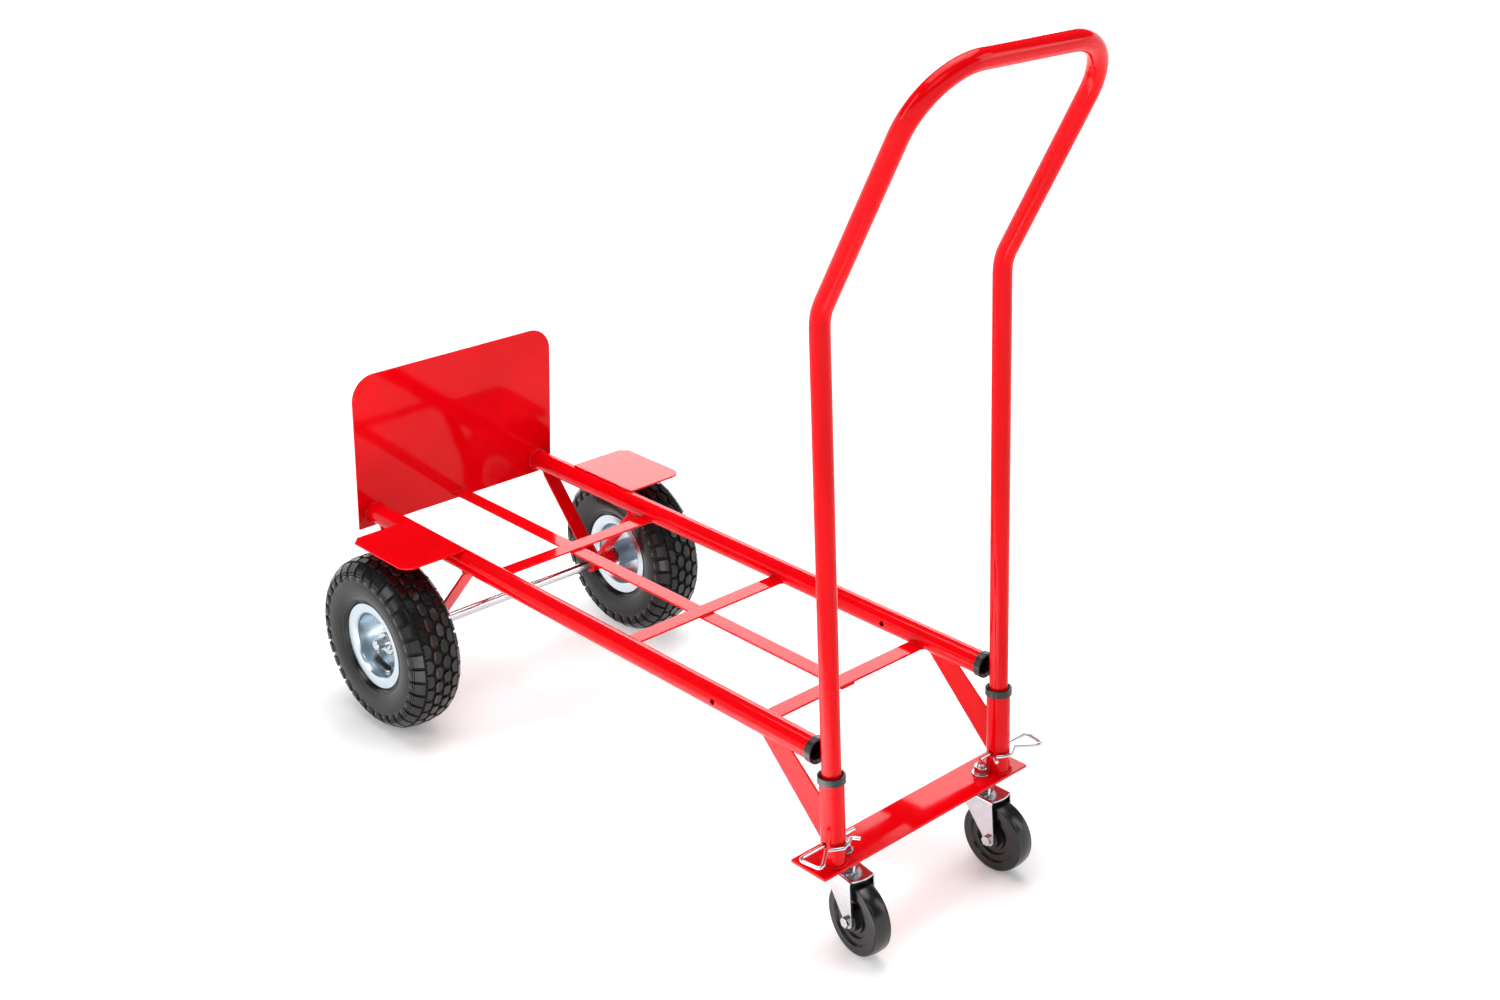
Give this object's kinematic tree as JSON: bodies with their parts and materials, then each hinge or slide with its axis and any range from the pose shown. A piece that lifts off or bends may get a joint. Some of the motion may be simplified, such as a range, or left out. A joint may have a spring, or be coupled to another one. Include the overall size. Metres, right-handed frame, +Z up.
{
  "type": "hand truck",
  "caption": "Convertible hand truck laid flat as a four-wheeled platform cart: steel tube deck, knobby air tyres, swivel casters and a tall bent push handle.",
  "frame": {"origin": "on the floor, under the middle of the whole object's bounding box", "axes": "+Z up, +X from the toe plate towards the casters and the handle, +Y completes a right-handed frame; the deck is symmetric about Y = 0"},
  "size_m": [1.1324, 0.57, 1.1531],
  "materials": {
    "red_paint": "gloss powder coat on steel",
    "black_collar": "satin moulded",
    "bright_zinc": "bright zinc plated",
    "zinc_rim": "blue-white zinc plated",
    "bearing_steel": "ground",
    "tyre_rubber": "moulded tread",
    "tube_rubber": "smooth",
    "caster_rubber": "satin moulded"
  },
  "bodies": {
    "frame": {"toe_plate": "red_paint", "rail_left": "red_paint", "rail_collar_left": "black_collar", "fender_left": "red_paint", "strut_front_left": "red_paint", "strut_rear_left": "red_paint", "axle_boss_left": "red_paint", "gusset_left": "red_paint", "sleeve_left": "red_paint", "sleeve_collar_left": "black_collar", "rail_right": "red_paint", "rail_collar_right": "black_collar", "fender_right": "red_paint", "strut_front_right": "red_paint", "strut_rear_right": "red_paint", "axle_boss_right": "red_paint", "gusset_right": "red_paint", "sleeve_right": "red_paint", "sleeve_collar_right": "black_collar", "crossbar_front": "red_paint", "crossbar_middle": "red_paint", "crossbar_rear": "red_paint", "centre_bar": "red_paint", "axle": "bright_zinc", "axle_washers": "bright_zinc", "cotter_pins": "bright_zinc", "bearing_inner_races": "bearing_steel", "caster_plate": "red_paint", "kingpins": "bright_zinc", "caster_upper_races": "bright_zinc", "kingpin_nuts": "bright_zinc", "kingpin_washers": "bright_zinc"},
    "wheel_left": {"tyre_left": "tyre_rubber", "inner_tube_left": "tube_rubber", "rim_outer_left": "zinc_rim", "rim_inner_left": "zinc_rim", "hub_left": "zinc_rim", "wheel_bearings_left": "bearing_steel", "rim_bolts_left": "bright_zinc"},
    "wheel_right": {"tyre_right": "tyre_rubber", "inner_tube_right": "tube_rubber", "rim_outer_right": "zinc_rim", "rim_inner_right": "zinc_rim", "hub_right": "zinc_rim", "wheel_bearings_right": "bearing_steel", "rim_bolts_right": "bright_zinc"},
    "caster_left": {"caster_balls_left": "bearing_steel", "fork_left": "bright_zinc", "caster_bush_left": "bright_zinc", "caster_axle_left": "bright_zinc"},
    "caster_wheel_left": {"caster_wheel_left": "caster_rubber"},
    "caster_right": {"caster_balls_right": "bearing_steel", "fork_right": "bright_zinc", "caster_bush_right": "bright_zinc", "caster_axle_right": "bright_zinc"},
    "caster_wheel_right": {"caster_wheel_right": "caster_rubber"},
    "handle": {"handle": "red_paint"},
    "lock_pin_left": {"lock_pin_left": "bright_zinc"},
    "lock_pin_right": {"lock_pin_right": "bright_zinc"}
  },
  "joints": [
    {"name": "wheel_left_spin", "type": "hinge", "parent": "frame", "child": "wheel_left", "pos_m": [-0.41316, 0.241, 0.1375], "axis": [0, 1, 0], "continuous": true},
    {"name": "wheel_right_spin", "type": "hinge", "parent": "frame", "child": "wheel_right", "pos_m": [-0.41316, -0.241, 0.1375], "axis": [0, 1, 0], "continuous": true},
    {"name": "caster_left_swivel", "type": "hinge", "parent": "frame", "child": "caster_left", "pos_m": [0.44684, 0.134, 0.127], "axis": [0, 0, 1], "continuous": true},
    {"name": "caster_wheel_left_spin", "type": "hinge", "parent": "caster_left", "child": "caster_wheel_left", "pos_m": [0.48284, 0.134, 0.0508], "axis": [0, 1, 0], "continuous": true},
    {"name": "caster_right_swivel", "type": "hinge", "parent": "frame", "child": "caster_right", "pos_m": [0.44684, -0.134, 0.127], "axis": [0, 0, 1], "continuous": true},
    {"name": "caster_wheel_right_spin", "type": "hinge", "parent": "caster_right", "child": "caster_wheel_right", "pos_m": [0.4824, -0.13963, 0.0508], "axis": [0.1564, 0.9877, 0], "continuous": true},
    {"name": "handle_lift", "type": "slide", "parent": "frame", "child": "handle", "axis": [-0.0663, 0, 0.9978], "range_m": [0, 0.25]},
    {"name": "lock_pin_left_pull", "type": "slide", "parent": "frame", "child": "lock_pin_left", "axis": [0, 1, 0], "range_m": [0, 0.06], "deforming": ["lock_pin_left"]},
    {"name": "lock_pin_right_pull", "type": "slide", "parent": "frame", "child": "lock_pin_right", "axis": [0, -1, 0], "range_m": [0, 0.06], "deforming": ["lock_pin_right"]}
  ]
}
